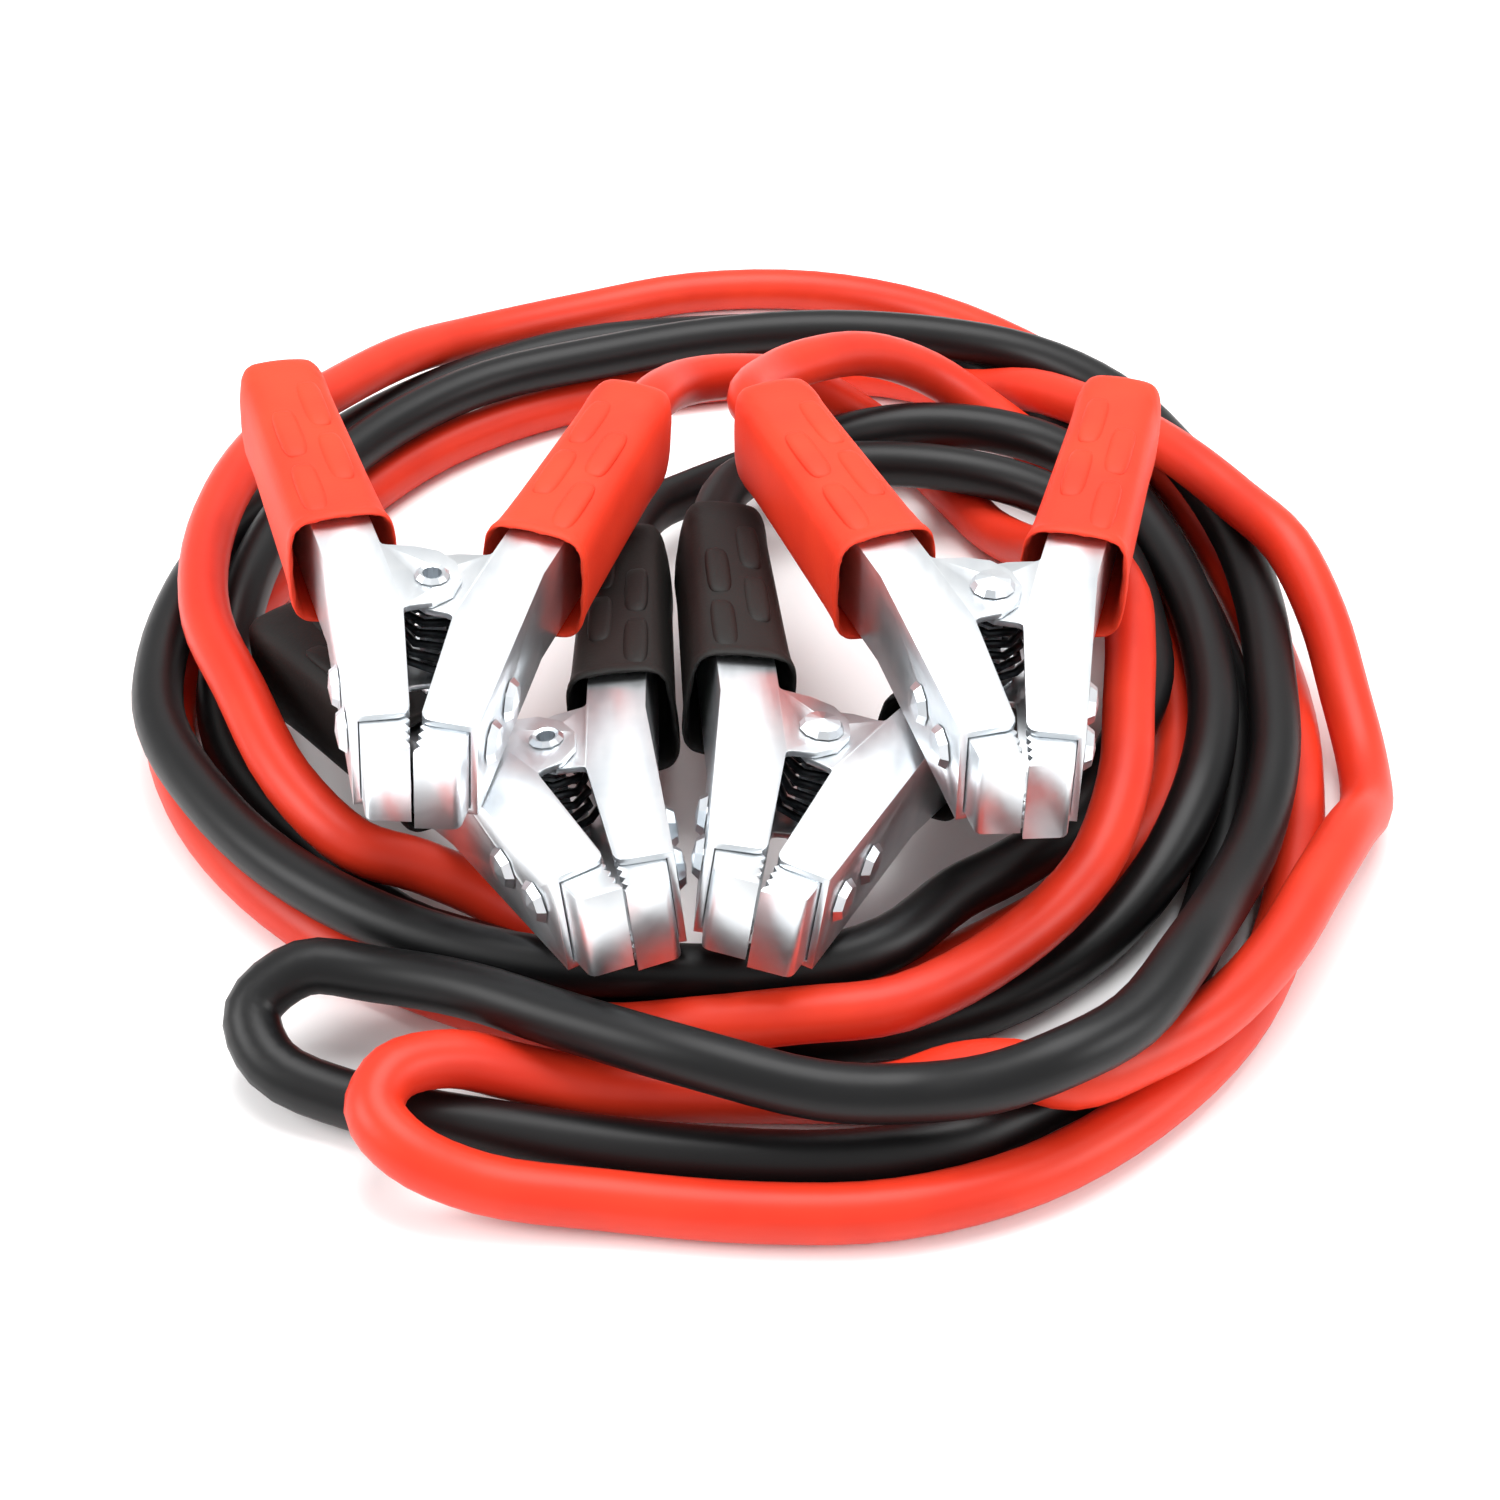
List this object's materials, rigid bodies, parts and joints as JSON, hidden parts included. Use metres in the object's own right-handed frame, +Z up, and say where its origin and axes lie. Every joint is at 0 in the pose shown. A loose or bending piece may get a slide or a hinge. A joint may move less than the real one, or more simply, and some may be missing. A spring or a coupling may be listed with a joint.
{
  "type": "booster cable set",
  "caption": "Vehicle booster cables, one red and one black, loosely coiled together, with spring clamps in coloured grip sleeves at the ends lying on top of the coil.",
  "frame": {"origin": "middle of the set's bounding box, on the floor", "axes": "+Z up; the clamps' jaws point towards -Y, and +X is to the right seen from the jaws' side"},
  "size_m": [0.3068, 0.3816, 0.0792],
  "materials": {
    "red_sheath": "satin soft plastic",
    "black_sheath": "satin soft plastic",
    "red_grip": "matt dipped plastic",
    "black_grip": "matt dipped plastic, dusty",
    "steel": "bright zinc plate",
    "spring_steel": "dark oiled wire"
  },
  "bodies": {
    "cables_and_fixed_sides": {"red_cable": "red_sheath", "black_cable": "black_sheath", "red_left_cable_arm": "steel", "red_left_cable_jaw": "steel", "red_left_cable_sleeve": "red_grip", "red_left_cable_rivet_front": "steel", "red_left_cable_rivet_rear": "steel", "red_left_pivot_rivet": "steel", "red_left_spring": "spring_steel", "red_right_cable_arm": "steel", "red_right_cable_jaw": "steel", "red_right_cable_sleeve": "red_grip", "red_right_cable_rivet_front": "steel", "red_right_cable_rivet_rear": "steel", "red_right_pivot_rivet": "steel", "red_right_spring": "spring_steel", "black_left_cable_arm": "steel", "black_left_cable_jaw": "steel", "black_left_cable_sleeve": "black_grip", "black_left_cable_rivet_front": "steel", "black_left_cable_rivet_rear": "steel", "black_left_pivot_rivet": "steel", "black_left_spring": "spring_steel", "black_right_cable_arm": "steel", "black_right_cable_jaw": "steel", "black_right_cable_sleeve": "black_grip", "black_right_cable_rivet_front": "steel", "black_right_cable_rivet_rear": "steel", "black_right_pivot_rivet": "steel", "black_right_spring": "spring_steel"},
    "red_left_swinging_side": {"red_left_free_arm": "steel", "red_left_free_jaw": "steel", "red_left_free_sleeve": "red_grip", "red_left_free_rivet_front": "steel", "red_left_free_rivet_rear": "steel"},
    "red_right_swinging_side": {"red_right_free_arm": "steel", "red_right_free_jaw": "steel", "red_right_free_sleeve": "red_grip", "red_right_free_rivet_front": "steel", "red_right_free_rivet_rear": "steel"},
    "black_left_swinging_side": {"black_left_free_arm": "steel", "black_left_free_jaw": "steel", "black_left_free_sleeve": "black_grip", "black_left_free_rivet_front": "steel", "black_left_free_rivet_rear": "steel"},
    "black_right_swinging_side": {"black_right_free_arm": "steel", "black_right_free_jaw": "steel", "black_right_free_sleeve": "black_grip", "black_right_free_rivet_front": "steel", "black_right_free_rivet_rear": "steel"}
  },
  "joints": [
    {"name": "red_left_pivot", "type": "hinge", "parent": "cables_and_fixed_sides", "child": "red_left_swinging_side", "pos_m": [-0.0722, -0.06261, 0.0623], "axis": [-0.0693, -0.0192, -0.9974], "range_deg": [0, 22], "stiffness_Nm_per_rad": 1.5, "springref_deg": -20.05, "deforming": ["red_left_spring"]},
    {"name": "red_right_pivot", "type": "hinge", "parent": "cables_and_fixed_sides", "child": "red_right_swinging_side", "pos_m": [0.0526, -0.06191, 0.059], "axis": [-0.0005, 0.0087, 1], "range_deg": [0, 22], "stiffness_Nm_per_rad": 1.5, "springref_deg": -20.05, "deforming": ["red_right_spring"]},
    {"name": "black_left_pivot", "type": "hinge", "parent": "cables_and_fixed_sides", "child": "black_left_swinging_side", "pos_m": [-0.0448, -0.08731, 0.0351], "axis": [0.1039, -0.1106, -0.9884], "range_deg": [0, 22], "stiffness_Nm_per_rad": 1.5, "springref_deg": -20.05, "deforming": ["black_left_spring"]},
    {"name": "black_right_pivot", "type": "hinge", "parent": "cables_and_fixed_sides", "child": "black_right_swinging_side", "pos_m": [0.0128, -0.08621, 0.0375], "axis": [0.1399, 0.098, 0.9853], "range_deg": [0, 22], "stiffness_Nm_per_rad": 1.5, "springref_deg": -20.05, "deforming": ["black_right_spring"]}
  ]
}
